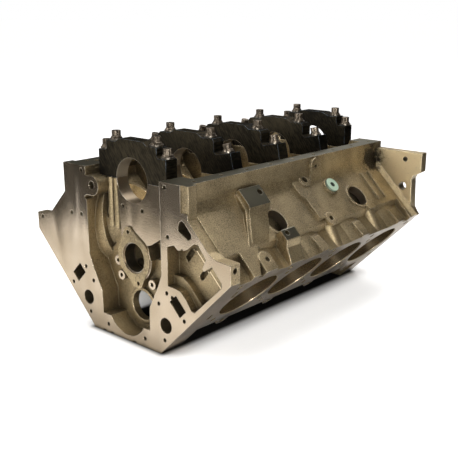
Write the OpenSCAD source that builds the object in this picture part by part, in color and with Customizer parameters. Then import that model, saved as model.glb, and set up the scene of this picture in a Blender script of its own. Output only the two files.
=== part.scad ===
/* [Main sizes] */
// Distance between neighbouring cylinders and between neighbouring main webs
bore_pitch = 122.94; // [121:0.01:124]
// Height of each deck face above the crankshaft axis
deck_h = 250.3; // [248:0.1:256]
// Diameter of the cylinder bores
bore_d = 110; // [104:0.5:112]
// Distance of the first bore of the right bank behind the front face
first_bore_y = 109; // [107:0.5:111]
// Distance by which the left bank sits further forward
bank_stagger = 24; // [22:0.5:26]
// Length of the casting behind the last main web
tail_len = 14.34; // [12:0.01:18]
// Distance of the first main web behind the front face, at its middle
first_main_y = 35.5; // [34.5:0.1:36.5]
// Thickness of the main webs and of their caps
web_t = 24; // [20:0.5:26]
// Diameter of the main bearing bore
main_d = 74.6; // [72:0.1:76]
// Distance of the camshaft axis from the crankshaft axis
cam_drop = 130.9; // [129:0.1:133]

/* [Crankcase] */
// Height of the pan rails above the crankshaft axis
rail_z = 15.6; // [12:0.1:18]
// Width of the pan rails
rail_w = 26; // [22:0.5:28]
// Depth of the pan rail ledge below its face
rail_t = 12; // [9:0.5:15]
// Distance from the middle to the outside of the skirt
skirt_x = 142; // [140:0.5:146]
// Thickness of the skirt wall under the rail
skirt_t = 11; // [9:0.5:13]
// Radius of the hollow between the skirt and the side of a bank
hollow_r = 42; // [30:1:50]
// Distance from the middle to the outside of the front ears
ear_x = 150; // [147:0.5:153]
// Half of the width of the seat of the two end caps
end_seat_x = 81.3; // [81:0.1:84]
// Height along the bank of the crankcase ceiling
ceiling_h = 108; // [106:0.5:112]
// Height along the bank at which the cylinder barrels end in the crankcase
barrel_h = 98; // [94:0.5:101]
// Radius of the pan rail and cover screw holes
screw_r = 3.4; // [3:0.1:4]

/* [Banks] */
// Outer radius of the cylinder barrels
barrel_r = 60.5; // [59:0.25:61.5]
// Distance from the bore plane to the outer jacket wall
jacket_u = 83; // [81:0.5:85]
// Distance from the bore plane to the recessed wall beside the deck
scallop_u = 72; // [71:0.5:74]
// Distance from the bore plane to the wall on the valley side
valley_u = 78; // [76:0.5:80]
// Height along the bank of the ridge above the scallops
ridge_h = 204; // [200:0.5:208]
// Radius of the core holes in the jacket wall
core_r = 21; // [19:0.1:22]
// Height along the bank of the core holes
core_h = 175; // [172:0.5:178]
// Distance of the first core hole from the first bore of its bank
core_1_dy = 61.5; // [59:0.5:64]
// Distance of the second core hole from the first bore of its bank
core_2_dy = 300; // [297:0.5:303]
// Height along the bank of the jacket floor
jacket_low = 125; // [122:0.5:128]
// Thickness of the deck above the water jacket
deck_t = 12; // [10:0.5:14]
// Thickness of the jacket wall in front of the first bore
end_wall_t = 4; // [3.5:0.1:5]
// Water gap in front of the first bore
end_gap = 5; // [4.5:0.1:5.5]
// Radius of the head bolt holes in the deck
head_bolt_r = 5.6; // [5:0.1:6]
// Depth of the head bolt holes
head_bolt_depth = 30; // [20:1:35]

/* [Front] */
// Thickness of the front plate
plate_t = 20; // [18:0.5:22]
// Depth of the cast floor of the timing recess
recess_y = 35; // [33:0.5:36]
// Thickness of the front end wall, from its front face to the valley
front_wall = 45; // [44:0.5:47]
// Height of the camshaft thrust face over the face of the first web
thrust_h = 2.5; // [1:0.5:3]
// Half of the width of the timing recess
recess_x = 90; // [88:0.5:91]
// Height of the corner of the front plate beside a deck
corner_h = 31; // [26:0.5:34]
// Half of the width of the end walls at their foot
end_x = 83.5; // [80:0.5:86]
// Depth of the cast pocket in the right of the front face
pocket_y = 26; // [20:0.5:28]
// Sideways distance of the timing cover screws from the middle
cover_x = 101; // [100:0.5:102]
// Height of the upper timing cover screws
cover_top_z = 8; // [6:0.5:9]
// Distance of the lower timing cover screws below the crankshaft axis
cover_low_z = 162; // [160:0.5:164]

/* [Rear flange] */
// Thickness of the bellhousing flange
flange_t = 18; // [15:0.5:22]
// Distance from the middle to the outside of the bellhousing flange
flange_x = 242.5; // [240:0.5:246]
// Height of the upper edge of the bellhousing flange
flange_z = 4; // [2:0.5:6]
// Sideways distance of the upper bellhousing holes from the middle
bell_x = 207.7; // [204:0.1:210]
// Distance of the upper bellhousing holes below the crankshaft axis
bell_z = 10.7; // [9:0.1:12]
// Radius of the bellhousing bolt holes
bell_r = 4.8; // [4.3:0.1:5.5]
// Radius of the bellhousing dowel holes
dowel_r = 8; // [7:0.1:9]
// Radius of the rear seal bore
seal_r = 52; // [50:0.5:54]

/* [Camshaft and lifters] */
// Radius of the camshaft bearing housings in the webs
cam_house_r = 26.9; // [26.4:0.1:27.5]
// Inner radius of the camshaft bearing shells
cam_r = 24.75; // [24.2:0.05:25.2]
// Radius of the camshaft tunnel between the webs
tunnel_r = 30; // [29:0.5:31]
// Outer radius of the cast wall round the camshaft tunnel
tunnel_out_r = 34.5; // [34:0.5:35]
// Width of the camshaft bearing shells
cam_shell_w = 20; // [16:0.5:20]
// Distance of the valley floor below the crankshaft axis
valley_z = 167; // [166:0.5:170]
// Radius of the lifter bores
lifter_r = 10.7; // [10:0.1:11]
// Lean of the lifter bores from the upright
lifter_lean = 41; // [38:1:44]
// Half of the distance between the two lifters of a cylinder
lifter_half = 23; // [21:0.5:25]

/* [Main caps] */
// Height of the middle of the caps above the parting face
cap_top = 66.5; // [62:0.5:70]
// Height of the inner bolt shelves
shelf_z = 60; // [56:0.5:61]
// Height of the outer shelves of the two end caps
low_shelf_z = 43.5; // [40:0.5:46]
// Half of the width of the two end caps
end_cap_x = 81; // [80:0.1:81]
// Half of the width of the three middle caps at their foot
splay_cap_x = 110; // [106:0.5:112]
// Lean of the outer bolts of the middle caps
splay = 12; // [9:0.5:15]
// Sideways distance of the inner cap bolts from the middle
inner_x = 48.1; // [47:0.1:49]
// Sideways distance of the outer bolts of the end caps from the middle
outer_x = 73; // [72:0.1:73.5]
// Sideways distance of the splayed bolts from the middle, where they meet their shelf
splay_x = 89; // [87:0.5:91]
// Height of the splayed shelf where the bolts meet it
splay_z = 37.6; // [35:0.1:40]

/* [Cap fasteners] */
// Radius of the shank of the cap bolts
shank_r = 6.35; // [5.8:0.05:6.5]
// Clearance round the shank in the cap
cap_gap = 0.55; // [0.3:0.05:0.8]
// Clearance round the threads in the block
thread_gap = 0.1; // [0.05:0.01:0.2]
// Length of a cap bolt below the parting face
thread_len = 42; // [36:1:45]
// Radius of the washers
washer_r = 11; // [10:0.1:11.2]
// Thickness of the washers
washer_t = 3; // [2:0.1:3.5]
// Radius of the bolt flange at its foot
flange_r = 10; // [9:0.1:10]
// Height of the bolt flange
flange_h = 4; // [3:0.1:5]
// Radius over the points of the bolt head
head_r = 7.6; // [7:0.1:8]
// Height of the bolt head above its flange
head_h = 9; // [8:0.1:11]

/* [Drain plug] */
// Distance of the drain plug from the first bore of its bank
plug_dy = 247; // [244:0.5:250]
// Height along the bank of the drain plug
plug_h = 142; // [140:0.5:144]
// Radius of the head of the drain plug
plug_r = 13.5; // [12.5:0.1:14.5]
// Radius of the threads of the drain plug
plug_thread_r = 9; // [8:0.1:10]
// Size of the hexagon socket across its points
plug_hex = 11; // [9:0.1:12]

/* [Node] */
// Which node is drawn, all of them by default

/* [Hidden] */
S = sqrt(0.5);
main_r = main_d / 2;
bore_r = bore_d / 2;
end_z = deck_h / S - end_x;
corner_x = (deck_h + jacket_u) * S;
corner_z = corner_x - deck_h / S;
shell_r = barrel_r + end_gap + end_wall_t;
gap_r = barrel_r + end_gap;
plug_face_u = jacket_u + 3;
web_face_y = first_main_y - web_t / 2;
thin = 0.01;
last_main_y = first_main_y + 4 * bore_pitch;
rear_web_y = last_main_y - web_t / 2;
front_bay_y = first_main_y + web_t / 2;
block_len = last_main_y + web_t / 2 + tail_len;

// A point of the cross section, given by its place in a bank: out from the bore plane, up the bore
function bank_point(u, h) = [(h + u) * S, (u - h) * S];
// The same from the deck down, for what keeps its place beside the deck
function deck_point(u, depth) = bank_point(u, deck_h - depth);
function flip(points) = [for (i = [len(points) - 1 : -1 : 0]) [-points[i][0], points[i][1]]];
function main_y(i) = first_main_y + i * bore_pitch;
function bore_y(side, k) = first_bore_y - (side < 0 ? bank_stagger : 0) + k * bore_pitch;
function splay_shift(z) = (splay_z - z) * tan(splay);

// The frame of a bank: x out from the bore plane, y along the block, z up the bore
module in_bank(side) {
    mirror([side < 0 ? 1 : 0, 0, 0]) rotate([0, 135, 0]) mirror([1, 0, 0]) children();
}

// A drawing in x and z, drawn out along the block from one y to another
module along(y0, y1) {
    translate([0, y1, 0]) rotate([90, 0, 0]) linear_extrude(height = y1 - y0) children();
}

// A round bar along the block
module rod(x, z, y0, y1, r, sides = 13) {
    translate([x, y1, z]) rotate([90, 0, 0]) cylinder(h = y1 - y0, r = r, $fn = sides);
}

// A rectangular block from one corner to the other
module slab(a, b) {
    translate(a) cube(b - a);
}

// A drawing in y and h, drawn out from the bore plane from one u to another
module outward(u0, u1) {
    translate([u0, 0, 0]) rotate([90, 0, 90]) linear_extrude(height = u1 - u0) children();
}

// A round bar out of the side of a bank
module stud(u0, u1, y, h, r, sides = 13) {
    translate([u0, y, h]) rotate([0, 90, 0]) cylinder(h = u1 - u0, r = r, $fn = sides);
}

// The rounded hollow where the skirt runs into the side of a bank
function hollow() = [for (a = [0 : 9 : 45]) [
    skirt_x + hollow_r * (1 - cos(a)),
    jacket_u / S - skirt_x + hollow_r * (tan(22.5) - sin(a))
]];

// The two banks and the crankcase between the front plate and the rear flange
module body_section() {
    half = concat([[skirt_x, rail_z]], hollow(), [
        bank_point(jacket_u, deck_h),
        bank_point(-valley_u, deck_h),
        [valley_z - valley_u / S, -valley_z]
    ]);
    polygon(concat(half, flip(half)));
}

// The end walls, which close the valley down to the foot of the block
module end_section() {
    half = concat([[skirt_x, rail_z]], hollow(), [bank_point(jacket_u, deck_h), [end_x, -end_z]]);
    polygon(concat(half, flip(half)));
}

// The front plate with its two ears and its corners beside the decks
module plate_section() {
    half = [
        [ear_x, rail_z],
        [ear_x, -36],
        [ear_x + 42, -78],
        [ear_x + 56, corner_z + corner_h + 2],
        [corner_x, corner_z + corner_h],
        [corner_x, corner_z],
        [end_x, -end_z]
    ];
    polygon(concat(half, flip(half)));
}

// The bellhousing flange
module flange_section() {
    half = [
        [skirt_x, rail_z],
        [skirt_x, flange_z],
        [flange_x, flange_z],
        [flange_x, -32],
        [flange_x - 16, -41],
        [flange_x - 19, -48],
        [flange_x - 17, corner_z + 15],
        [corner_x, corner_z],
        [end_x, -end_z]
    ];
    polygon(concat(half, flip(half)));
}

// One crankcase bay: inside of the rails, of the skirt and under the banks
module bay_section() {
    wall_x = skirt_x - skirt_t;
    half = [
        [skirt_x - rail_w, rail_z + 10],
        [skirt_x - rail_w, rail_z - rail_t],
        [wall_x, rail_z - rail_t - 12],
        [wall_x, wall_x - ceiling_h / S],
        [30, 30 - ceiling_h / S]
    ];
    polygon(concat(half, flip(half)));
}

// The space above the parting face between the registers of the two end caps
module end_seat_section() {
    half = [
        [end_seat_x + 10, rail_z + 10],
        [end_seat_x + 10, rail_z - 4],
        [end_seat_x + 6, 5],
        [end_seat_x, 0]
    ];
    polygon(concat(half, flip(half)));
}

// The outline of the timing recess, wide at the crankshaft and narrow at the foot
module recess_section() {
    half = [
        [recess_x, rail_z + 10],
        [recess_x, 135.5 - end_z],
        [recess_x - 10, 111.5 - end_z],
        [recess_x - 30, 73.5 - end_z],
        [recess_x - 31, 33.5 - end_z]
    ];
    polygon(concat(half, flip(half)));
}

module timing_recess() {
    difference() {
        union() {
            along(-1, recess_y) recess_section();
            rod(3, 56.5 - end_z, -1, recess_y, 47, 32);
        }
        // The round lobe with its screw boss on the left of the recess
        rod(-75, -15.5, -2, recess_y + 1, 17, 20);
        slab([-recess_x - 1, -2, -32.5], [-75, recess_y + 1, 0]);
    }
}

// The pocket cast in the right of the front face and the slot above it
module front_pocket() {
    edge = recess_x + 14;
    foot = deck_point(-20.5, 58.7);
    difference() {
        along(-1, pocket_y) polygon([
            [edge, -85], [119, -80], [128, -86], [138, -85], [149, -80], [162, -69], [171, -69],
            [187, -89], deck_point(53, 50.2), deck_point(52.3, 45.2), deck_point(71.5, 41.7),
            deck_point(70.7, 12.7), deck_point(65.8, 7.8), deck_point(-12, 9.2),
            deck_point(-16.3, 14.8), deck_point(-13.4, 34.6), deck_point(-14.1, 49.5),
            foot, [edge, foot[1] + 1]
        ]);
        // The steps of the pocket floor along the deck side
        along(pocket_y - 12, pocket_y + 1) polygon([
            [edge, foot[1] + 16], deck_point(-7.8, 68.6), deck_point(-4.2, 53.7), deck_point(-4.2, 5.6),
            deck_point(-17.7, 6.4), deck_point(-42.4, 66.5)
        ]);
    }
    // Two round-ended hollows in the upper side of the pocket
    for (p = [[131, -96, 15], [162, -119, 14]]) intersection() {
        along(-1, pocket_y + 9) translate([p[0], p[1]]) rotate(52) {
            translate([-p[2], 0]) circle(r = 5, $fn = 16);
            translate([-p[2], -5]) square([2 * p[2], 10]);
        }
        along(-2, pocket_y + 10) polygon([
            [edge, -80], [187, -80], deck_point(65.8, 12), deck_point(-10, 12)
        ]);
    }
    along(-1, 60) polygon([
        [132, -41], [137, -38], [142, -40], [157, -56], [157, -62], [150, -66], [129, -55], [129, -49]
    ]);
}

// Water space of a bank, without the barrels that stand in it
module jacket_space(side) {
    y0 = bore_y(side, 0);
    y1 = bore_y(side, 3);
    top = deck_h - deck_t;
    along(y0 - 45, y1 + 45) polygon([
        [-48, jacket_low], [jacket_u - 8, jacket_low], [jacket_u - 8, ridge_h - 8],
        [scallop_u - 6, ridge_h], [scallop_u - 6, top], [8 - valley_u, top], [8 - valley_u, 152]
    ]);
    for (y = [y0, y1]) translate([0, y, jacket_low]) cylinder(h = top - jacket_low, r = gap_r, $fn = 32);
}

module barrels(side) {
    for (k = [0 : 3])
        translate([0, bore_y(side, k), barrel_h])
            cylinder(h = deck_h - deck_t / 2 - barrel_h, r = barrel_r, $fn = 32);
    slab([-12, bore_y(side, 0), ceiling_h + 5], [12, bore_y(side, 3), deck_h - deck_t / 2]);
}

// Wall round the first left bore, which shows in the timing recess beside its side wall
module jacket_nose() {
    intersection() {
        in_bank(-1) translate([0, bore_y(-1, 0), 38]) cylinder(h = 150, r = shell_r, $fn = 40);
        slab([-recess_x - 2, plate_t - 8, -200], [21 - recess_x, front_wall - 4, -20]);
    }
}

// Machined front face of the first web, with the camshaft thrust face
module front_web() {
    y1 = front_wall - 1;
    along(web_face_y, y1) polygon([
        [-38, 0], [-38, -15], [-31, -85], [-31, -cam_drop], [31, -cam_drop], [45, -99],
        [63, -87.5], [recess_x + 1, -70], [recess_x + 1, 0]
    ]);
    rod(0, -cam_drop, web_face_y, y1, 41, 32);
    // Thrust face of the camshaft, raised round its bore, with two screw lobes
    rod(0, -cam_drop, web_face_y - thrust_h, y1, 38.5, 32);
    for (p = [[-12, 43], [10, -42.5]]) rod(p[0], p[1] - cam_drop, web_face_y - thrust_h, y1, 9.5, 16);
    translate([0, 0, -cam_drop]) along(web_face_y - thrust_h, y1) polygon([
        [-20.5, 47], [-38, 8], [-20, -33], [-2, -50], [17, -49], [30, -24], [29, 25], [-5, 49]
    ]);
    for (p = [[-42.4, -13], [-35, -38], [41, -38]]) rod(p[0], p[1] - cam_drop, web_face_y, y1, 8.5, 16);
    // Cast ribs down the left of the web
    for (p = [[-46, 31], [-60, 30]])
        translate([p[0], p[1], -88]) cylinder(h = 86, r = 6, $fn = 16);
    // Raised rim round the opening to the valley
    rod(9, 55.5 - end_z, recess_y - 4, front_wall - 1, 31, 32);
}

// Bosses, pads and ribs on the side of a bank
module side_features(side) {
    y0 = bore_y(side, 0);
    foot = scallop_u - 4;
    // Rounded walls over the bores beside the deck, each with a flat pad
    for (k = [0 : 3]) {
        y = bore_y(side, k);
        intersection() {
            translate([0, y, ridge_h - 10]) cylinder(h = deck_h - ridge_h + 10, r = jacket_u - 6, $fn = 32);
            slab([foot, y - 50, ridge_h - 11], [jacket_u, y + 50, deck_h + 1]);
        }
        if (k > 0) along(y - 1, y + 20) polygon([
            [foot, ridge_h + 4], [jacket_u - 9, ridge_h + 10], [jacket_u - 4, ridge_h + 16],
            [jacket_u - 1, deck_h - 4], [jacket_u - 1, deck_h], [foot, deck_h]
        ]);
    }
    engine_mount(y0);
    // Square boss, whose body runs down to the deck between the first two bores
    along(y0 + 39, y0 + 74) polygon([
        [foot, ridge_h - 6], [jacket_u + 15, ridge_h - 6], [jacket_u + 15, ridge_h + 14],
        [jacket_u + 6, ridge_h + 22], [jacket_u - 4, deck_h], [foot, deck_h]
    ]);
    // Columns that lean in from the ridge to the deck, the first under a round boss
    for (dy = [184.5, 314]) translate([jacket_u - 7, y0 + dy, ridge_h - 3]) rotate([0, -16, 0])
        cylinder(h = (deck_h - ridge_h) / cos(16), r = 12, $fn = 20);
    stud(foot, jacket_u + 7, y0 + 184.5, ridge_h - 2, 12.5, 20);
    slab([foot, y0 + 303, ridge_h - 12], [jacket_u + 5, y0 + 325, ridge_h + 5]);
    // Boss near the rail and the bar that runs down from it
    stud(foot, jacket_u + 7, y0 + 184.5, 119, 13, 20);
    outward(foot, jacket_u + 4.5) polygon([
        [y0 + 184, 112], [y0 + 192, 126], [y0 + 179, 148], [y0 + 177, ridge_h - 6],
        [y0 + 160, ridge_h - 6], [y0 + 159, 152], [y0 + 152, 144], [y0 + 150, 128], [y0 + 154, 114]
    ]);
    // Boss over the first bore
    stud(foot - 2, jacket_u + 2, y0 - 13, ridge_h + 26, 14, 20);
    slab([foot - 2, y0 - 27, ridge_h + 26], [jacket_u + 2, y0 + 1, deck_h]);
    // Rings round the core holes
    for (dy = [core_1_dy, core_2_dy]) stud(foot, jacket_u + 1.6, y0 + dy, core_h, core_r + 4, 32);
    // Boss of the drain plug
    stud(foot, plug_face_u, y0 + plug_dy, plug_h, plug_r + 3, 20);
    // Two upright ribs near the rear
    for (y = [352, 376]) slab([foot, y0 + y, 134], [jacket_u + 4, y0 + y + 5, ridge_h - 10]);
}

// Engine mount pad on its block, which leans forward down to the ridge and on to the deck
module engine_mount(y0) {
    low = jacket_u - 12;
    pad = jacket_u + 14.6;
    intersection() {
        along(y0 - 60, y0 + 62) polygon([
            [low, 110], [pad, 110], [pad, 146], [jacket_u + 9, 153], [jacket_u + 1, ridge_h - 4],
            [low, ridge_h - 4]
        ]);
        outward(low, pad + 1) polygon([
            [y0 + 9, 108], [y0 + 60, 108], [y0 + 60, 146], [y0 + 14, ridge_h], [y0 - 22, ridge_h],
            [y0 + 9, 144]
        ]);
    }
    intersection() {
        along(y0 - 60, y0 + 62) polygon([
            [low, 114], [jacket_u + 9, 114], [jacket_u + 7, 150], [jacket_u + 0.5, ridge_h - 2],
            [low, ridge_h - 2]
        ]);
        outward(low, pad + 1) polygon([
            [y0 + 4, 112], [y0 + 60, 112], [y0 + 60, 146], [y0 + 18, ridge_h], [y0 - 30, ridge_h],
            [y0 + 4, 144]
        ]);
    }
    outward(scallop_u - 4, jacket_u) polygon([
        [y0 - 55, ridge_h - 2], [y0 - 8, ridge_h - 2], [y0 - 40, deck_h], [y0 - 55, deck_h]
    ]);
}

// Boss with a screw hole on the outside of the skirt
module skirt_boss(side) {
    y = bore_y(side, 0) + 218;
    mirror([side < 0 ? 1 : 0, 0, 0]) {
        slab([skirt_x - 5, y - 15, -30], [skirt_x + 5, y + 15, -2]);
        translate([skirt_x - 5, y, -1.5]) rotate([0, 90, 0]) cylinder(h = 9.5, r = 14.8, $fn = 20);
    }
}

// Ridge in the valley that carries the lifter bores of a bank
module lifter_ridge(side) {
    mirror([side < 0 ? 1 : 0, 0, 0]) translate([0, 0, -cam_drop]) rotate([0, 180 - lifter_lean, 0])
        slab([-16, front_wall - 2, tunnel_out_r + 3], [16, rear_web_y + 6, 84]);
}

module lifter_bores(side) {
    mirror([side < 0 ? 1 : 0, 0, 0]) translate([0, 0, -cam_drop]) rotate([0, 180 - lifter_lean, 0])
        for (k = [0 : 3]) for (d = [-lifter_half, lifter_half])
            translate([0, bore_y(side, k) + d - 4, 20]) cylinder(h = 70, r = lifter_r, $fn = 16);
}

// Bosses on the valley side of a deck, at the bores
module valley_bosses(side) {
    for (k = [0 : 3]) translate([-valley_u - 5, bore_y(side, k), deck_h - 40])
        cylinder(h = 40, r = 12, $fn = 20);
}

// Everything that is bored or tapped in a deck and in the side of a bank
module bank_cuts(side) {
    y0 = bore_y(side, 0);
    for (k = [0 : 3]) translate([0, bore_y(side, k), 0]) {
        translate([0, 0, barrel_h]) cylinder(h = deck_h - barrel_h + 5, r = bore_r, $fn = 40);
        translate([0, 0, barrel_h - 14]) cylinder(h = 14, r = bore_r + 1.5, $fn = 40);
        translate([0, 0, deck_h - 1.2]) cylinder(h = 3, r1 = bore_r - thin, r2 = bore_r + 3, $fn = 40);
        translate([-valley_u - 6, 0, deck_h - head_bolt_depth])
            cylinder(h = head_bolt_depth + 5, r = head_bolt_r, $fn = 13);
    }
    for (k = [0 : 4]) {
        y = y0 + (k - 0.5) * bore_pitch;
        for (p = [[61, -9], [-57, k < 4 ? 20 : 0]]) translate([p[0], y + p[1], deck_h - head_bolt_depth])
            cylinder(h = head_bolt_depth + 5, r = head_bolt_r, $fn = 13);
    }
    // Slots of the water passages in front of the first bore
    for (p = [[-42, -69, 14], [24, -65, 20]])
        slab([p[0], y0 + p[1], deck_h - 8], [p[0] + p[2], y0 + p[1] + 7, deck_h + 5]);
    // Water holes through the deck between the bores
    for (k = [0 : 2]) for (u = [-40, 42])
        translate([u, y0 + (k + 0.5) * bore_pitch, deck_h - deck_t - 5])
            cylinder(h = deck_t + 10, r = 5, $fn = 13);
    for (dy = [core_1_dy, core_2_dy]) stud(barrel_r + 2, jacket_u + 10, y0 + dy, core_h, core_r, 32);
    // Tapped holes of the mount pad, the bosses and the drain plug
    stud(jacket_u - 7, jacket_u + 30, y0 + 51, 123, 5.4);
    stud(jacket_u - 7, jacket_u + 30, y0 + 50, ridge_h + 1, 4.6);
    stud(jacket_u - 7, jacket_u + 30, y0 + 184.5, 119, 6);
    stud(jacket_u - 7, jacket_u + 30, y0 + 184.5, ridge_h - 2, 4.6);
    stud(jacket_u - 7, jacket_u + 30, y0 - 10, ridge_h + 27, 4.2);
    stud(jacket_u - 12, jacket_u + 30, y0 + plug_dy, plug_h, plug_thread_r + thread_gap, 20);
}

// Everything that is bored, milled and tapped along the crankshaft
module crank_cuts() {
    // Seats of the caps
    slab([rail_w - skirt_x, front_bay_y - 1, 0], [skirt_x - rail_w, rear_web_y + 1, rail_z + 5]);
    along(web_face_y - 3, block_len + 1) end_seat_section();
    rod(0, 0, web_face_y - 3, block_len + 1, main_r, 40);
    rod(0, 0, last_main_y + web_t / 2, block_len + 1, seal_r, 40);
    rod(0, -cam_drop, web_face_y - thrust_h - 1, block_len + 1, cam_house_r, 32);
    for (i = [0 : 3])
        rod(0, -cam_drop, main_y(i) + web_t / 2 + 1, main_y(i + 1) - web_t / 2 - 1, tunnel_r, 32);
    // Threads of the cap bolts
    for (i = [0 : 4]) for (s = [-1, 1]) translate([0, main_y(i), 0]) {
        translate([s * inner_x, 0, -thread_len - 5]) bolt_hole();
        if (i == 0 || i == 4) translate([s * outer_x, 0, -thread_len - 5]) bolt_hole();
        else translate([s * (splay_x + splay_shift(0)), 0, 0]) rotate([0, -s * splay, 0])
            translate([0, 0, -thread_len - 5]) bolt_hole();
    }
    // Pan rail screws
    for (s = [-1, 1]) for (i = [0 : 0.5 : 4])
        translate([s * (skirt_x - rail_w / 2), main_y(i), rail_z - 16])
            cylinder(h = 30, r = screw_r, $fn = 13);
    translate([-118, front_bay_y + 1, rail_z - 16]) cylinder(h = 30, r = 5, $fn = 13);
    // Screws of the bosses on the skirts
    for (s = [-1, 1]) translate([s > 0 ? skirt_x - 8 : -skirt_x - 8, bore_y(s, 0) + 218, -1])
        rotate([0, 90, 0]) cylinder(h = 16, r = 3, $fn = 13);
}

module bolt_hole() {
    cylinder(h = thread_len + 12, r = shank_r + thread_gap, $fn = 16);
}

// Ports and tapped holes in the front face
module front_cuts() {
    for (s = [-1, 1]) {
        rod(s * cover_x, cover_top_z, -1, 14, screw_r);
        rod(s * cover_x, -cover_low_z, -1, 14, screw_r);
        for (p = [[106, -69], deck_point(-72.1, 62.2), deck_point(-42.4, 11.3), deck_point(-106.1, 11.3)])
            rod(s * p[0], p[1], -1, 14, screw_r);
        rod(s * 46.5, 15.5 - end_z, -1, 14, screw_r);
        rod(s * deck_point(-85.2, 27.2)[0], deck_point(-85.2, 27.2)[1], -1, 32, 13, 20);
    }
    for (p = [[-91.3, -37.4], [-133, -70.7], [-221, -93]]) rod(p[0], p[1], -1, 14, screw_r);
    rod(86.8, -29, -1, 28, 5, 16);
    rod(-75, -14.5, -1, 18, 6.8, 16);
    // Water pump ports, a rectangle on the right and a diamond on the left
    in_bank(1) slab([-47, -1, deck_h - 51], [-28, 62, deck_h - 20]);
    in_bank(-1) slab([-50, -1, deck_h - 54], [-29.5, 42, deck_h - 24.5]);
    rod(deck_point(-37.9, 52)[0], deck_point(-37.9, 52)[1], -1, 20, 3.6);
    // Milled strip of the right ear, and the screw hole of the corner boss
    slab([135, -1, -27], [ear_x + 1, 2, rail_z + 1]);
    for (s = [-1, 1]) translate([s > 0 ? corner_x - 14 : -corner_x - 1, 9.6, -97]) rotate([0, 90, 0])
        cylinder(h = 15, r = 4.6, $fn = 13);
    // First web: cover dowels, oil feed, thrust plate screws and galleries
    for (p = [[-25.4, -46.3], [22.6, -47.2], [8.9, -31.9]])
        rod(p[0], p[1], web_face_y - 1, web_face_y + 14, screw_r);
    for (p = [[-12, 43], [10, -42.5], [-42.4, -13], [-35, -38], [41, -38]])
        rod(p[0], p[1] - cam_drop, web_face_y - thrust_h - 1, web_face_y + 16, screw_r);
    // Opening to the valley, and the opening to the crankcase on the right
    rod(9, 55.5 - end_z, recess_y - 10, front_wall + 1, 26, 32);
    along(recess_y - 14, front_bay_y + 4) polygon([[33, -104], [47, -99], [70, -88], [70, -124], [40, -128]]);
    // Notches along the foot of the end wall
    for (x = [-58, -38, 20]) slab([x - 4, -1, -end_z - 1], [x + 4, 4, -end_z + 3]);
}

module rear_cuts() {
    y0 = block_len - flange_t;
    for (s = [-1, 1]) {
        rod(s * bell_x, -bell_z, y0 - 1, block_len + 1, bell_r, 16);
        rod(s * 205, -63.3, y0 - 1, block_len + 1, dowel_r, 16);
        rod(s * 138, -186, block_len - 25, block_len + 1, bell_r, 16);
        rod(s * 60, -180, block_len - 25, block_len + 1, bell_r, 16);
        rod(s * 40, -75, block_len - 20, block_len + 1, 6);
    }
}

module block_casting() {
    color([0.66, 0.57, 0.44]) difference() {
        union() {
            difference() {
                union() {
                    along(0, plate_t) plate_section();
                    along(plate_t - 1, front_wall) end_section();
                    along(front_wall - 1, rear_web_y + 1) body_section();
                    along(rear_web_y, block_len) end_section();
                    along(block_len - flange_t, block_len) flange_section();
                }
                for (i = [0 : 3])
                    along(main_y(i) + web_t / 2, main_y(i + 1) - web_t / 2) bay_section();
                timing_recess();
                front_pocket();
                for (s = [-1, 1]) in_bank(s) {
                    jacket_space(s);
                    along(plate_t + 2, block_len - flange_t - 16) polygon([
                        [scallop_u, ridge_h + 8], [jacket_u + 1, ridge_h], [jacket_u + 30, ridge_h],
                        [jacket_u + 30, deck_h + 5], [scallop_u, deck_h + 5]
                    ]);
                }
            }
            for (s = [-1, 1]) {
                in_bank(s) {
                    barrels(s);
                    side_features(s);
                    valley_bosses(s);
                    // Foot of the bellhousing flange
                    translate([0, 0, 122]) linear_extrude(height = deck_h - 122) polygon([
                        [jacket_u - 4, block_len - flange_t - 12], [jacket_u, block_len - flange_t - 9],
                        [jacket_u + 7, block_len - flange_t + 1], [jacket_u - 4, block_len - flange_t + 1]
                    ]);
                }
                skirt_boss(s);
                lifter_ridge(s);
            }
            rod(0, -cam_drop, front_wall - 1, rear_web_y + 1, tunnel_out_r, 32);
            jacket_nose();
            front_web();
        }
        for (s = [-1, 1]) {
            in_bank(s) bank_cuts(s);
            lifter_bores(s);
        }
        crank_cuts();
        front_cuts();
        rear_cuts();
    }
}

// Outline of the two end caps, straight at the ends
module end_cap_section() {
    half = [
        [26, cap_top], [38, shelf_z], [60, shelf_z], [60, low_shelf_z + 3],
        [63, low_shelf_z], [end_cap_x, low_shelf_z], [end_cap_x, 0]
    ];
    polygon(concat(half, flip(half)));
}

// Outline of the three middle caps, with a shelf square to the splayed bolts
module splay_cap_section() {
    low = splay_z - (splay_x - 72) * tan(splay);
    half = [
        [26, cap_top], [38, shelf_z], [63, shelf_z], [67, shelf_z - 5], [67, low + 4],
        [72, low], [104, splay_z + (104 - splay_x) * tan(splay)],
        [splay_cap_x, 15], [splay_cap_x, 0]
    ];
    polygon(concat(half, flip(half)));
}

module main_cap(i) {
    y = main_y(i);
    splayed = i > 0 && i < 4;
    color([0.17, 0.17, 0.18]) difference() {
        along(y - web_t / 2, y + web_t / 2) {
            if (splayed) splay_cap_section();
            else end_cap_section();
        }
        rod(0, 0, y - web_t, y + web_t, main_r, 40);
        for (s = [-1, 1]) {
            translate([s * inner_x, y, -1]) cylinder(h = 80, r = shank_r + cap_gap, $fn = 16);
            if (splayed) translate([s * splay_x, y, splay_z]) rotate([0, -s * splay, 0])
                translate([0, 0, -50]) cylinder(h = 70, r = shank_r + cap_gap, $fn = 16);
            else translate([s * outer_x, y, -1]) cylinder(h = 80, r = shank_r + cap_gap, $fn = 16);
        }
        if (i == 0) translate([0, y, cap_top - 8]) cylinder(h = 10, r = 3.2, $fn = 13);
    }
}

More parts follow.
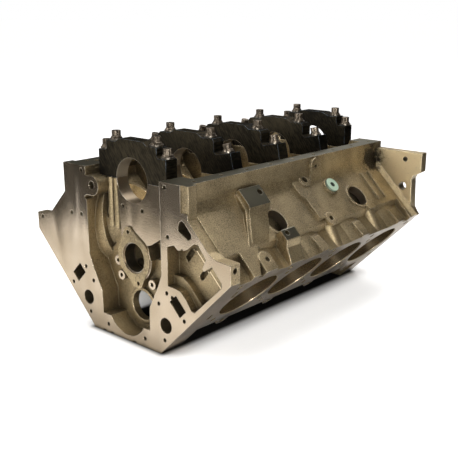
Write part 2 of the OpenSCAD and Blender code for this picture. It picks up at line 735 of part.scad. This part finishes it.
// A bolt that stands on its washer, with the top of the washer at its origin
module cap_bolt(grip) {
    length = grip + washer_t + thread_len;
    translate([0, 0, -length]) cylinder(h = length + 1, r = shank_r, $fn = 16);
    cylinder(h = flange_h, r1 = flange_r, r2 = flange_r - 2, $fn = 20);
    for (a = [0, 30]) rotate([0, 0, a]) translate([0, 0, flange_h - 1])
        cylinder(h = head_h + 1, r = head_r, $fn = 6);
}

module washer() {
    difference() {
        cylinder(h = washer_t, r = washer_r, $fn = 20);
        translate([0, 0, -1]) cylinder(h = washer_t + 2, r = shank_r + cap_gap, $fn = 16);
    }
}

module on_splay(i, s) {
    translate([s * splay_x, main_y(i), splay_z]) rotate([0, -s * splay, 0]) children();
}

module inner_bolts(i) {
    color([0.30, 0.27, 0.24]) for (s = [-1, 1])
        translate([s * inner_x, main_y(i), shelf_z + washer_t]) cap_bolt(shelf_z);
}

module outer_bolts(i) {
    color([0.33, 0.30, 0.26]) for (s = [-1, 1])
        if (i > 0 && i < 4) on_splay(i, s) translate([0, 0, washer_t]) cap_bolt(splay_z / cos(splay));
        else translate([s * outer_x, main_y(i), low_shelf_z + washer_t]) cap_bolt(low_shelf_z);
}

module washers(i) {
    color([0.36, 0.34, 0.31]) for (s = [-1, 1]) {
        translate([s * inner_x, main_y(i), shelf_z]) washer();
        if (i > 0 && i < 4) on_splay(i, s) washer();
        else translate([s * outer_x, main_y(i), low_shelf_z]) washer();
    }
}

module cam_bearing(i) {
    y0 = i == 0 ? web_face_y + 0.5 : main_y(i) - cam_shell_w / 2;
    color([0.62, 0.60, 0.58]) difference() {
        rod(0, -cam_drop, y0, y0 + cam_shell_w, cam_house_r, 32);
        rod(0, -cam_drop, y0 - 1, y0 + cam_shell_w + 1, cam_r, 32);
    }
}

module drain_plug() {
    color([0.66, 0.82, 0.72]) in_bank(1) difference() {
        union() {
            stud(plug_face_u - 12, plug_face_u + 1, bore_y(1, 0) + plug_dy, plug_h, plug_thread_r, 20);
            stud(plug_face_u, plug_face_u + 4, bore_y(1, 0) + plug_dy, plug_h, plug_r, 20);
        }
        stud(plug_face_u - 6, plug_face_u + 6, bore_y(1, 0) + plug_dy, plug_h, plug_hex / 2, 6);
    }
}

// The origin lies on the crankshaft axis, in the middle of the third main web
module placed() {
    translate([0, -main_y(2), 0]) children();
}

placed() block_casting();
placed() main_cap(0);  // main_cap_1
placed() main_cap(1);  // main_cap_2
placed() main_cap(2);  // main_cap_3
placed() main_cap(3);  // main_cap_4
placed() main_cap(4);  // main_cap_5
placed() inner_bolts(0);  // cap_1_inner_bolts
placed() inner_bolts(1);  // cap_2_inner_bolts
placed() inner_bolts(2);  // cap_3_inner_bolts
placed() inner_bolts(3);  // cap_4_inner_bolts
placed() inner_bolts(4);  // cap_5_inner_bolts
placed() outer_bolts(0);  // cap_1_outer_bolts
placed() outer_bolts(1);  // cap_2_outer_bolts
placed() outer_bolts(2);  // cap_3_outer_bolts
placed() outer_bolts(3);  // cap_4_outer_bolts
placed() outer_bolts(4);  // cap_5_outer_bolts
placed() washers(0);  // cap_1_washers
placed() washers(1);  // cap_2_washers
placed() washers(2);  // cap_3_washers
placed() washers(3);  // cap_4_washers
placed() washers(4);  // cap_5_washers
placed() cam_bearing(0);  // cam_bearing_1
placed() cam_bearing(1);  // cam_bearing_2
placed() cam_bearing(2);  // cam_bearing_3
placed() cam_bearing(3);  // cam_bearing_4
placed() cam_bearing(4);  // cam_bearing_5
placed() drain_plug();
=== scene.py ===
import bpy
import math
from mathutils import Matrix, Vector


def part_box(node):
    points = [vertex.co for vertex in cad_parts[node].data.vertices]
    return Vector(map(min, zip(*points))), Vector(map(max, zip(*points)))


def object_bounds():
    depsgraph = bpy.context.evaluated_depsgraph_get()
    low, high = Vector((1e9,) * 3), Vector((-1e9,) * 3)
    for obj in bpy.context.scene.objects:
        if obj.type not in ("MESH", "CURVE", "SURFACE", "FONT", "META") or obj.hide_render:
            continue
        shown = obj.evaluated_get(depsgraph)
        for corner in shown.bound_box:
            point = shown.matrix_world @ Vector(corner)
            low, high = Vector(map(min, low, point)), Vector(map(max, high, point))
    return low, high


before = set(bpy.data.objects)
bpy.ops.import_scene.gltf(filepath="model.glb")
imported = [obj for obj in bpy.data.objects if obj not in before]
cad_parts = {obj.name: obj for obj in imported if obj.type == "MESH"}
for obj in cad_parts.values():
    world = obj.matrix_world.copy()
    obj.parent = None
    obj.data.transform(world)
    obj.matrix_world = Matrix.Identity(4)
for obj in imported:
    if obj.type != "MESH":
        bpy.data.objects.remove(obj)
cad_box = [list(corner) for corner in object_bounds()]

# Block casting
# Grey iron, poured in sand and shot blasted, then cut on its faces, decks, rails, pads and bores.
# The rest keeps the fine skin of the sand, with corners as round as the mould left them.
INPUT_ORDER = {"first": 0, "second": 1, "third": 2}


class Varying:
    """A value, colour or shader that varies over a surface. Sums on it add nodes to its tree."""

    def __init__(self, tree, socket):
        self.tree = tree
        self.socket = socket

    def step(self, operation, *values):
        """One step of arithmetic on values that change over the surface."""
        made = self.tree.nodes.new("ShaderNodeMath")
        made.operation = operation
        for socket, value in zip(made.inputs, values):
            connect(self.tree, socket, value)
        return Varying(self.tree, made.outputs[0])

    def __add__(self, other):
        return self.step("ADD", self, other)

    def __sub__(self, other):
        return self.step("SUBTRACT", self, other)

    def __rsub__(self, other):
        return self.step("SUBTRACT", other, self)

    def __mul__(self, other):
        return self.step("MULTIPLY", self, other)

    def __abs__(self):
        return self.step("ABSOLUTE", self)

    def sign(self):
        return self.step("SIGN", self)

    def root(self):
        return self.step("SQRT", self)

    def below(self, limit):
        return self.step("LESS_THAN", self, limit)

    def above(self, limit):
        return self.step("GREATER_THAN", self, limit)

    def fade(self, start, end):
        """0 where the value is at start, 1 where it is at end, smooth between."""
        smooth = {"interpolation_type": "SMOOTHSTEP"}
        return add_node(self.tree, "MapRange", smooth, Value=self, From_Min=start, From_Max=end)


def connect(tree, socket, value):
    """Feed an input with what varies, or set it to what is the same everywhere."""
    if isinstance(value, Varying):
        tree.links.new(value.socket, socket)
    else:
        socket.default_value = value


def add_node(tree, kind, settings=None, gives=0, **wires):
    """What a new node gives. Its inputs go by their labels, or by first, second and third."""
    made = tree.nodes.new("ShaderNode" + kind)
    for name, value in (settings or {}).items():
        setattr(made, name, value)
    for name, value in wires.items():
        connect(tree, made.inputs[INPUT_ORDER.get(name, name.replace("_", " "))], value)
    return Varying(tree, made.outputs[gives])


def noise(place, **settings):
    """A random tone about one half, finer with a larger scale."""
    return add_node(place.tree, "TexNoise", Vector=place, **settings)


def new_effect(name, takes, gives):
    """A node group with named sockets, and the inputs that it takes."""
    tree = bpy.data.node_groups.new(name, "ShaderNodeTree")
    for label, kind in takes.items():
        tree.interface.new_socket(label, in_out="INPUT", socket_type="NodeSocket" + kind)
    for label in gives:
        tree.interface.new_socket(label, in_out="OUTPUT", socket_type="NodeSocketFloat")
    taken = tree.nodes.new("NodeGroupInput").outputs
    return tree, {label: Varying(tree, taken[label]) for label in takes}


def give_out(effect, **results):
    """The output of a node group, with what it gives under each name."""
    output = effect.nodes.new("NodeGroupOutput")
    for label, value in results.items():
        connect(effect, output.inputs[label], value)


# The skin that moulding sand leaves: slow changes of tone, pores and fine grain
sand_skin, taken = new_effect(
    "sand_skin", takes={"Place": "Vector", "Grain": "Float"}, gives=("Tone", "Speck", "Height"))
give_out(
    sand_skin,
    Tone=noise(taken["Place"], Scale=16.0, Detail=4.0, Roughness=0.6),
    Speck=noise(taken["Place"], Scale=520.0, Detail=2.0, Roughness=0.7),
    Height=noise(taken["Place"], Scale=taken["Grain"], Detail=3.0, Roughness=0.65),
)


def vector_step(operation, first, second, gives=0):
    """One step of arithmetic on vectors."""
    settings = {"operation": operation}
    return add_node(first.tree, "VectorMath", settings, gives, first=first, second=second)


# Outer edges, rubbed and with painted highlight, and painted shade in inner corners, found from how the
# softened surface turns
CORNER_REACH = 0.04
edge_wear_sheen_and_shade, taken = new_effect(
    "edge_wear_sheen_and_shade", takes={"Round": "Vector", "Place": "Vector"}, gives=("Edge", "Hollow"))
flat = add_node(edge_wear_sheen_and_shade, "NewGeometry", gives="Normal")
agrees = vector_step("DOT_PRODUCT", taken["Round"], flat, gives="Value")
openness = add_node(edge_wear_sheen_and_shade, "AmbientOcclusion", {"samples": 8}, "AO", Distance=CORNER_REACH)
scuffed = noise(taken["Place"], Scale=90.0, Detail=4.0).fade(0.3, 0.62)
give_out(
    edge_wear_sheen_and_shade,
    Edge=agrees.fade(0.995, 0.86) * openness.fade(0.55, 0.85) * scuffed,
    Hollow=openness.fade(0.88, 0.3),
)

# Fine marks drawn out along a direction, as a face mill or a boring tool leaves them
cutter_marks, taken = new_effect(
    "cutter_marks", takes={"Place": "Vector", "Stretch": "Vector"}, gives=("Line", "Tone"))
drawn = vector_step("MULTIPLY", taken["Place"], taken["Stretch"])
give_out(
    cutter_marks,
    Line=noise(drawn, Scale=1.0, Detail=3.0, Roughness=0.6),
    Tone=noise(taken["Place"], Scale=9.0, Detail=2.0),
)

# Where the casting is cut, in metres: the frame gives its ends, rails, webs and camshaft tunnel.
# The banks lean at 45 degrees. Heights run up a bank, and depths across it towards the outside.
# The first bores lie half the stagger before and behind FIRST_BORE_Y, and cores are measured from them.
casting_low, casting_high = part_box("block_casting")
FRONT, REAR = casting_low[1], casting_high[1]
FOOT, RAIL = casting_low[2], casting_high[2]
WEB_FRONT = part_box("main_cap_1")[0][1]
BORE_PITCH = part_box("main_cap_4")[0][1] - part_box("main_cap_3")[0][1]
shell_low, shell_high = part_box("cam_bearing_3")
TUNNEL_RADIUS = shell_high[0]
TUNNEL_Z = (shell_low[2] + shell_high[2]) / 2
MAIN_RADIUS = 0.0373
BANK_SINE = math.sin(math.radians(45))
DECK_HEIGHT = 0.2503
BORE_RADIUS = 0.055
BORE_LOW_END = 0.098
FIRST_BORE_Y = FRONT + 0.097
BANK_STAGGER = 0.024
BORE_Y_LIMIT = 0.256
PAD_DEPTH = 0.0978
PAD_TOP = 0.217
CORE_RADIUS = 0.021
CORE_HEIGHT = 0.175
CORES_ALONG = (0.0615, 0.3)
AT_CUT = 0.0004
AT_BORE = 0.0006
NEAR_CUT = (0.0035, 0.0012)


def least(value, *others):
    """The smallest of some values at each point."""
    for other in others:
        value = value.step("MINIMUM", value, other)
    return value


def most(value, *others):
    """The largest of some values at each point."""
    for other in others:
        value = value.step("MAXIMUM", value, other)
    return value


def split(vector):
    """The x, y and z of a vector."""
    made = vector.tree.nodes.new("ShaderNodeSeparateXYZ")
    connect(vector.tree, made.inputs[0], vector)
    return [Varying(vector.tree, output) for output in made.outputs]


def radius(a, b):
    """Distance from an axis, from the two coordinates across it."""
    return (a * a + b * b).root()


cut_places, taken = new_effect(
    "cut_places", takes={"Place": "Vector"}, gives=("Cut", "Near", "Bore", "Dull", "Turned"))
x, y, z = split(taken["Place"])
faces_x, faces_y, faces_z = split(add_node(cut_places, "NewGeometry", gives="True Normal"))
wide, faces_out = abs(x), faces_x * x.sign()
height, depth = (wide - z) * BANK_SINE, (wide + z) * BANK_SINE
# How squarely the surface faces as a deck, a bank's side, an end or a rail does
to_deck = abs((faces_out - faces_z) * BANK_SINE)
to_side = abs((faces_out + faces_z) * BANK_SINE)
to_end, to_rail = abs(faces_y), abs(faces_z)


def away(value, *spots):
    """Distance of a coordinate from the nearest of the given places."""
    return least(*(abs(value - spot) for spot in spots))


def on_cut(distance, facing_it, at_least=0.97):
    """1 on a surface that lies at a cut and faces the way the cutter left it."""
    return distance.below(AT_CUT) * facing_it.above(at_least)


along_bank = y - (x.sign() * (BANK_STAGGER / 2) + FIRST_BORE_Y)
off_bore = along_bank.step("WRAP", along_bank, BORE_PITCH / 2, -BORE_PITCH / 2)
from_bore = away(radius(depth, off_bore), BORE_RADIUS)
over_low_end = height.fade(BORE_LOW_END - 0.0005, BORE_LOW_END + 0.0002)
bore = from_bore.below(AT_BORE) * over_low_end * to_deck.below(0.5) * abs(y).below(BORE_Y_LIMIT)
from_ends, from_rails = away(y, FRONT, REAR, WEB_FRONT), away(z, RAIL, FOOT)
from_deck = away(height, DECK_HEIGHT)
from_pads = most(away(depth, PAD_DEPTH), height.fade(PAD_TOP - 0.0005, PAD_TOP + 0.0005))
from_mains = least(away(radius(x, z), MAIN_RADIUS), away(radius(x, z - TUNNEL_Z), TUNNEL_RADIUS))
from_cores = away(radius(height - CORE_HEIGHT, away(along_bank, *CORES_ALONG)), CORE_RADIUS)
turned = most(
    on_cut(from_mains, 1.0 - to_end, at_least=0.8), on_cut(from_cores, 1.0 - to_side, at_least=0.8))
dull = most(on_cut(from_pads, to_side), on_cut(from_rails, to_rail) * z.above(0.0))
milled = most(on_cut(from_ends, to_end), on_cut(from_deck, to_deck), on_cut(from_rails, to_rail))
from_any = least(from_ends, from_rails, from_deck, from_pads, from_mains, from_cores, from_bore)
give_out(
    cut_places,
    Cut=most(milled, dull, turned, bore),
    Near=most(from_any.fade(*NEAR_CUT), bore),
    Bore=bore,
    Dull=dull,
    Turned=turned,
)


def new_finish(name):
    """A material with an empty tree, and the place of its points on the object in metres."""
    made = bpy.data.materials.new(name)
    made.use_nodes = True
    made.node_tree.nodes.clear()
    return made, made.node_tree, add_node(made.node_tree, "TexCoord", gives="Object")


def shade(tree, colour, roughness, metallic, normal):
    """The shader of a finish, linked to what varies over its surface."""
    shader = tree.nodes.new("ShaderNodeBsdfPrincipled")
    connect(tree, shader.inputs["Base Color"], colour)
    connect(tree, shader.inputs["Roughness"], roughness)
    connect(tree, shader.inputs["Metallic"], metallic)
    connect(tree, shader.inputs["Normal"], normal)
    tree.links.new(shader.outputs[0], tree.nodes.new("ShaderNodeOutputMaterial").inputs[0])
    return shader


def use_effect(tree, effect, **wires):
    """An effect placed in a material with its own values, as a table of what it gives."""
    made = tree.nodes.new("ShaderNodeGroup")
    made.node_tree = effect
    for label, value in wires.items():
        connect(tree, made.inputs[label], value)
    return {output.name: Varying(tree, output) for output in made.outputs}


def blend(mask, first, second, kind="RGBA"):
    """The first colour or value where the mask is 0, the second where it is 1."""
    made = mask.tree.nodes.new("ShaderNodeMix")
    made.data_type = kind
    used = [socket for socket in made.inputs if socket.enabled]
    for socket, value in zip(used, (mask, first, second)):
        connect(mask.tree, socket, value)
    return Varying(mask.tree, next(output for output in made.outputs if output.enabled))


def soften(tree, corner):
    """The surface with its corners rounded in the shine, by their radius."""
    return add_node(tree, "Bevel", {"samples": 6}, Radius=corner)


def emboss(height, **wires):
    """Fine relief in the shine."""
    return add_node(height.tree, "Bump", Height=height, **wires)


def dress(node, finish):
    """A finish on every face of a node of the frame."""
    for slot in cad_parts[node].material_slots:
        slot.material = finish


CAST_LIGHT = (0.50, 0.39, 0.225, 1)
CAST_DARK = (0.15, 0.117, 0.066, 1)
CAST_WEAR_AND_SHEEN = (0.80, 0.66, 0.45, 1)
CAST_HOLLOW_SHADE = (0.050, 0.040, 0.024, 1)
CUT_BRIGHT = (0.47, 0.385, 0.285, 1)
CUT_BROWN = (0.33, 0.262, 0.18, 1)
CUT_DARK_REFLECTION = (0.125, 0.115, 0.08, 1)
CUT_WEAR_AND_SHEEN = (0.92, 0.83, 0.68, 1)
BORE_GOLD = (0.58, 0.48, 0.32, 1)
CUT_CORNER = 0.0014
CAST_CORNER = 0.0028
cast_iron, tree, place = new_finish("blasted_cast_iron")
cuts = use_effect(tree, cut_places, Place=place)
skin = use_effect(tree, sand_skin, Place=place, Grain=1150.0)
marks = use_effect(tree, cutter_marks, Place=place, Stretch=(60.0, 60.0, 900.0))
soft = soften(tree, (1.0 - cuts["Near"]) * (CAST_CORNER - CUT_CORNER) + CUT_CORNER)
wear_sheen_shade = use_effect(tree, edge_wear_sheen_and_shade, Round=soft, Place=place)
skin_tone = skin["Tone"] * 0.55 + skin["Speck"] * 0.65
skin_colour = blend(skin_tone.fade(0.40, 0.78), CAST_DARK, CAST_LIGHT)

# Painted light: the front of the rear flange is made paler than the rest, as if more light fell on it
FLANGE_PAINTED_LIGHT = (0.86, 0.72, 0.46, 1)
FLANGE_FRONT = REAR - 0.018
facing_y = split(add_node(tree, "NewGeometry", gives="True Normal"))[1]
flange_painted_light = split(place)[1].fade(FLANGE_FRONT - 0.004, FLANGE_FRONT) * facing_y.fade(-0.8, -0.98)
skin_colour = blend(flange_painted_light * 0.7, skin_colour, FLANGE_PAINTED_LIGHT)
# Outer edges turn paler, partly wear and partly painted highlight
skin_colour = blend(wear_sheen_shade["Edge"] * 0.8, skin_colour, CAST_WEAR_AND_SHEEN)
# Painted shade darkens the inner corners and hollows
skin_colour = blend(wear_sheen_shade["Hollow"] * 0.75, skin_colour, CAST_HOLLOW_SHADE)

cut_colour = blend(marks["Tone"].fade(0.35, 0.7), CUT_BROWN, CUT_BRIGHT)
# The pads and rail tops are painted dark, a painted dark reflection of their surroundings
cut_colour = blend(cuts["Dull"], cut_colour, CUT_DARK_REFLECTION)
cut_colour = blend(cuts["Bore"], cut_colour, BORE_GOLD)
# Cut edges turn paler, partly wear and partly painted highlight
cut_colour = blend(wear_sheen_shade["Edge"] * 0.7, cut_colour, CUT_WEAR_AND_SHEEN)
colour = blend(cuts["Cut"], skin_colour, cut_colour)

# A near-black patch on the skirt in front of the rear flange, with a ragged rim
DARK_PATCH = (0.008, 0.006, 0.004, 1)
PATCH_PLACE = (0.142, 0.234, -0.014)
PATCH_RADIUS = 0.056
from_patch = vector_step("DISTANCE", place, PATCH_PLACE, gives="Value")
ragged = noise(place, Scale=130.0, Detail=5.0, Roughness=0.7) * 0.05
patch = (from_patch + ragged).fade(PATCH_RADIUS, PATCH_RADIUS * 0.75)
colour = blend(patch * 0.95, colour, DARK_PATCH)

# Long shallow waves of the cutter bend the shine of the milled faces into streaks
WAVE_STRETCH = (13.0, 8.0, 4.0)
WAVE_DEPTH = 18.0
calm = cuts["Dull"] + cuts["Bore"]
swept = vector_step("MULTIPLY", place, WAVE_STRETCH)
waves = noise(swept, Scale=1.0, Detail=1.0, Distortion=0.6) * ((1.1 - calm) * WAVE_DEPTH)
skin_rough = wear_sheen_shade["Edge"] * -0.08 + (skin["Speck"] * 0.26 + 0.20)
cut_rough = (cuts["Dull"] + cuts["Turned"]) * 0.2 + (marks["Line"] * 0.12 + 0.14)
relief = blend(cuts["Cut"], skin["Height"] + skin["Speck"], waves + marks["Line"] * 0.12, "FLOAT")
shade(
    tree,
    colour,
    blend(cuts["Cut"], skin_rough, cut_rough, "FLOAT"),
    blend(cuts["Cut"], 0.85, 0.98, "FLOAT"),
    emboss(relief, Distance=0.0008, Strength=0.6, Normal=soft),
)
dress("block_casting", cast_iron)

# Main caps
# Five caps sawn from steel bar, milled square and blackened, each bored in line with its web.
# The three middle ones have shelves for bolts that lean out.
WEBS = range(1, 6)
CAP_BLACK = (0.010, 0.009, 0.007, 1)
CAP_BROWN = (0.050, 0.041, 0.026, 1)
CAP_BARE_AND_GLINT = (0.17, 0.22, 0.27, 1)
CAP_BORED = (0.30, 0.26, 0.20, 1)
CAP_CORNER = 0.0009
MARKS_LEAN = 0.6
cap_black, tree, place = new_finish("blackened_cap_steel")
tilted = add_node(tree, "VectorRotate", {"rotation_type": "Y_AXIS"}, Vector=place, Angle=MARKS_LEAN)
marks = use_effect(tree, cutter_marks, Place=tilted, Stretch=(560.0, 60.0, 90.0))
soft = soften(tree, CAP_CORNER)
wear_sheen_shade = use_effect(tree, edge_wear_sheen_and_shade, Round=soft, Place=place)
across, _, upward = split(place)
bored = radius(across, upward).below(MAIN_RADIUS + AT_CUT)
rubbed = marks["Tone"] * 0.5 + marks["Line"] * 0.6
colour = blend(rubbed.fade(0.42, 0.72), CAP_BLACK, CAP_BROWN)
# Cap edges turn bare and bluish, partly wear and partly painted glint
colour = blend(wear_sheen_shade["Edge"] * 0.85, colour, CAP_BARE_AND_GLINT)
colour = blend(bored, colour, CAP_BORED)
grain = emboss(marks["Line"], Distance=0.0002, Strength=0.3, Normal=soft)
shader = shade(tree, colour, marks["Line"] * 0.2 + 0.38, 0.85, grain)
shader.inputs["Specular IOR Level"].default_value = 0.25
shader.inputs["Specular Tint"].default_value = (0.3, 0.3, 0.3, 1)
for number in WEBS:
    dress(f"main_cap_{number}", cap_black)

# Cap bolts
# Forged alloy steel bolts with twelve-point heads on round flanges, black oxide worn to bronze.
# Two straight ones hold each cap beside the bore, and two more outside them.
BOLT_BLACK = (0.11, 0.088, 0.065, 1)
BOLT_BRONZE = (0.27, 0.22, 0.165, 1)
BOLT_BARE = (0.50, 0.43, 0.35, 1)
FORGED_CORNER = 0.0006


def forge(name, dark, worn, bare):
    """Blackened forged steel, mottled where hands and oil rubbed it, with bare edges that carry painted
    highlight and painted shade in its hollows.
    """
    finish, tree, place = new_finish(name)
    mottle = noise(place, Scale=160.0, Detail=4.0, Roughness=0.6)
    soft = soften(tree, FORGED_CORNER)
    wear_sheen_shade = use_effect(tree, edge_wear_sheen_and_shade, Round=soft, Place=place)
    colour = blend(mottle.fade(0.38, 0.66), dark, worn)
    colour = blend(wear_sheen_shade["Edge"] * 0.8, colour, bare)
    # Painted shade in the hollows
    colour = blend(wear_sheen_shade["Hollow"] * 0.5, colour, CAST_HOLLOW_SHADE)
    grain = emboss(mottle, Distance=0.0003, Strength=0.25, Normal=soft)
    shade(tree, colour, mottle * 0.25 + 0.2, 0.95, grain)
    return finish


bolt_finish = forge("worn_black_bolts", BOLT_BLACK, BOLT_BRONZE, BOLT_BARE)
for number in WEBS:
    dress(f"cap_{number}_inner_bolts", bolt_finish)
    dress(f"cap_{number}_outer_bolts", bolt_finish)

# Washers
# Hardened flat washers, ground on both faces and blackened, one under each bolt.
# They are worn as the bolts are, but greyer.
WASHER_BLACK = (0.12, 0.105, 0.085, 1)
WASHER_GREY = (0.25, 0.22, 0.18, 1)
WASHER_BARE = (0.46, 0.42, 0.36, 1)
washer_finish = forge("ground_washers", WASHER_BLACK, WASHER_GREY, WASHER_BARE)
for number in WEBS:
    dress(f"cap_{number}_washers", washer_finish)

# Camshaft bearings
# Thin steel-backed shells pressed into the webs along the camshaft tunnel.
# Their soft bearing metal is pale, with fine turned rings.
SHELL_DARK = (0.22, 0.195, 0.15, 1)
SHELL_PALE = (0.38, 0.34, 0.27, 1)
shell_metal, tree, place = new_finish("bearing_metal")
marks = use_effect(tree, cutter_marks, Place=place, Stretch=(40.0, 1400.0, 40.0))
colour = blend(marks["Tone"], SHELL_DARK, SHELL_PALE)
rings = emboss(marks["Line"], Distance=0.0001, Strength=0.3)
shade(tree, colour, marks["Line"] * 0.2 + 0.22, 1.0, rings)
for number in WEBS:
    dress(f"cam_bearing_{number}", shell_metal)

# Drain plug
# A steel pipe plug with a hexagon socket, screwed into the right bank and coated pale green.
# The socket and other hollows are painted dark as shade.
PLUG_GREEN = (0.35, 0.50, 0.38, 1)
PLUG_PALE = (0.54, 0.66, 0.50, 1)
PLUG_SOCKET_SHADE = (0.03, 0.035, 0.03, 1)
PLUG_CORNER = 0.0008
plug_coat, tree, place = new_finish("pale_green_plug")
soft = soften(tree, PLUG_CORNER)
wear_sheen_shade = use_effect(tree, edge_wear_sheen_and_shade, Round=soft, Place=place)
mottle = noise(place, Scale=220.0, Detail=4.0)
colour = blend(mottle, PLUG_GREEN, PLUG_PALE)
# Painted shade in the socket and hollows
colour = blend(wear_sheen_shade["Hollow"] * 0.95, colour, PLUG_SOCKET_SHADE)
grain = emboss(mottle, Distance=0.0003, Strength=0.3, Normal=soft)
shade(tree, colour, mottle * 0.2 + 0.3, 0.2, grain)
dress("drain_plug", plug_coat)

# Floor
# A pale sheet of paper under the feet of the casting, lit up so that it looks white.
# It is painted black as shadow under the open valley and dim as shadow under the left bank, and its shine
# is painted dark under and behind the block. Its glow is seen but lights nothing.
PAPER = (0.86, 0.86, 0.86, 1)
PAPER_SHADED = (0.012, 0.011, 0.010, 1)
PAPER_REACH = 40.0
PAPER_GLOW = 0.64
PAPER_GLOW_FAR = 0.3
FEET_X = 0.0835
FEET_AREA = (-FEET_X, FEET_X, FRONT + 0.0034, REAR - 0.0022)
PAINTED_SHADOW_AREA = (-0.16, 0.0, -0.1, 0.16)
SHADE_IN_SHINE_AREA = (-0.24, 0.27, -0.283, 0.5)


def new_sheet(name, corners, finish):
    """A flat stage piece with four corners."""
    sheet_mesh = bpy.data.meshes.new(name)
    sheet_mesh.from_pydata(corners, [], [(0, 1, 2, 3)])
    sheet_mesh.materials.append(finish)
    sheet = bpy.data.objects.new(name, sheet_mesh)
    bpy.context.scene.collection.objects.link(sheet)
    return sheet


paper, tree, place = new_finish("pale_floor")
floor_x, floor_y = split(place)[:2]


def past_edge(left, right, front, rear):
    """Distance on the floor from a rectangle, and 0 inside it."""
    beyond_x = most(abs(floor_x - (left + right) / 2) - (right - left) / 2, 0.0)
    beyond_y = most(abs(floor_y - (front + rear) / 2) - (rear - front) / 2, 0.0)
    return radius(beyond_x, beyond_y)


from_feet = past_edge(*FEET_AREA)
outside = from_feet.fade(0.0, 0.015)
# Painted shadow: no glow under the feet, and a soft shade under the left bank
in_view = from_feet.fade(0.0, 0.05) * outside * past_edge(*PAINTED_SHADOW_AREA).fade(0.0, 0.16)
# Painted shade in the shine under and behind the block
in_shine = past_edge(*SHADE_IN_SHINE_AREA).fade(0.0, 0.1)
camera_ray, glossy_ray, clear_ray = (
    add_node(tree, "LightPath", gives=f"Is {ray} Ray") for ray in ("Camera", "Glossy", "Transmission"))
near_glow = blend(camera_ray, in_shine, in_view, "FLOAT") * PAPER_GLOW
glow = near_glow + from_feet.fade(0.3, 2.0) * PAPER_GLOW_FAR
matt = add_node(tree, "BsdfDiffuse", Color=blend(outside, PAPER_SHADED, PAPER))
lit = add_node(tree, "AddShader", first=matt, second=add_node(tree, "Emission", Strength=glow))
seen = most(camera_ray, glossy_ray, clear_ray)
surface = add_node(tree, "MixShader", first=seen, second=matt, third=lit)
connect(tree, tree.nodes.new("ShaderNodeOutputMaterial").inputs[0], surface)
foot = cad_box[0][2]
corner_ways = ((-1, -1), (1, -1), (1, 1), (-1, 1))
new_sheet("floor", [(right * PAPER_REACH, back * PAPER_REACH, foot) for right, back in corner_ways], paper)

# Dark cards
# Three standing cards that only the shine shows: beyond the front, the right side and the left rear.
# They give the bare metal the dark parts of its reflections.
CARD_BLACK = (0.04, 0.038, 0.035, 1)
card_finish = bpy.data.materials.new("black_card")
card_finish.use_nodes = True
card_shader = card_finish.node_tree.nodes["Principled BSDF"]
card_shader.inputs["Base Color"].default_value = CARD_BLACK
card_shader.inputs["Roughness"].default_value = 1.0
for name, start, end, tall in (
    ("front_card", (-1.3, -0.35), (0.3, -1.05), 0.75),
    ("rear_card", (0.95, -0.5), (0.1, 1.5), 1.1),
    ("left_card", (-1.5, 0.5), (-0.35, 1.6), 1.0),
):
    corners = [(*start, foot), (*end, foot), (*end, foot + tall), (*start, foot + tall)]
    card = new_sheet(name, corners, card_finish)
    card.visible_camera = card.visible_diffuse = card.visible_shadow = card.visible_transmission = False

# Studio light and camera
# A white backdrop that ends a little over the horizon under a dim ceiling, and four soft boxes.
# The camera stands to the right of the front face, a little over the caps.
SKY_WHITE = (1, 1, 1, 1)
SKY_DIM = (0.075, 0.07, 0.06, 1)
SKY_EDGE = (0.04, 0.14)
LIT_MIDDLE = Vector((0.0, 0.0, -0.1))
PHOTO_WIDTH = 458
FOCAL_PIXELS = 765.92
CAMERA_PLACE = (0.9272, -1.05548, 0.2621)
CAMERA_TURN = 41.91
CAMERA_HEIGHT_ANGLE = 15.81
CAMERA_ROLL = -0.07
world = bpy.data.worlds.new("studio")
bpy.context.scene.world = world
world.use_nodes = True
tree = world.node_tree
tree.nodes.clear()
over_horizon = split(add_node(tree, "TexCoord", gives="Generated"))[2]
sky = blend(over_horizon.fade(*SKY_EDGE), SKY_WHITE, SKY_DIM)
sky = blend(add_node(tree, "LightPath", gives="Is Camera Ray"), sky, SKY_WHITE)
background = add_node(tree, "Background", Color=sky, Strength=1.0)
connect(tree, tree.nodes.new("ShaderNodeOutputWorld").inputs[0], background)

# Each box has its place and side in metres, and its power in watts
for name, spot, size, power in (
    ("key_box", (-1.15, -1.9, 0.72), 1.3, 44),
    ("top_box", (0.3, -0.2, 1.6), 0.9, 20),
    ("back_box", (-0.35, 1.35, 1.25), 1.1, 14),
    ("side_box", (1.5, -1.6, 0.3), 0.5, 25),
):
    box = bpy.data.lights.new(name, "AREA")
    box.shape = "SQUARE"
    box.size = size
    box.energy = power
    lamp = bpy.data.objects.new(name, box)
    lamp.location = spot
    lamp.rotation_euler = (LIT_MIDDLE - Vector(spot)).to_track_quat("-Z", "Y").to_euler()
    bpy.context.scene.collection.objects.link(lamp)

lens = bpy.data.cameras.new("camera")
lens.sensor_width = 36.0
lens.lens = FOCAL_PIXELS * lens.sensor_width / PHOTO_WIDTH
camera = bpy.data.objects.new("camera", lens)
turn = Matrix.Rotation(math.radians(CAMERA_TURN), 4, "Z")
tip = Matrix.Rotation(math.radians(90 - CAMERA_HEIGHT_ANGLE), 4, "X")
roll = Matrix.Rotation(math.radians(CAMERA_ROLL), 4, "Z")
camera.matrix_world = Matrix.Translation(CAMERA_PLACE) @ turn @ tip @ roll
bpy.context.scene.collection.objects.link(camera)
bpy.context.scene.camera = camera
bpy.context.scene.view_settings.view_transform = "Standard"
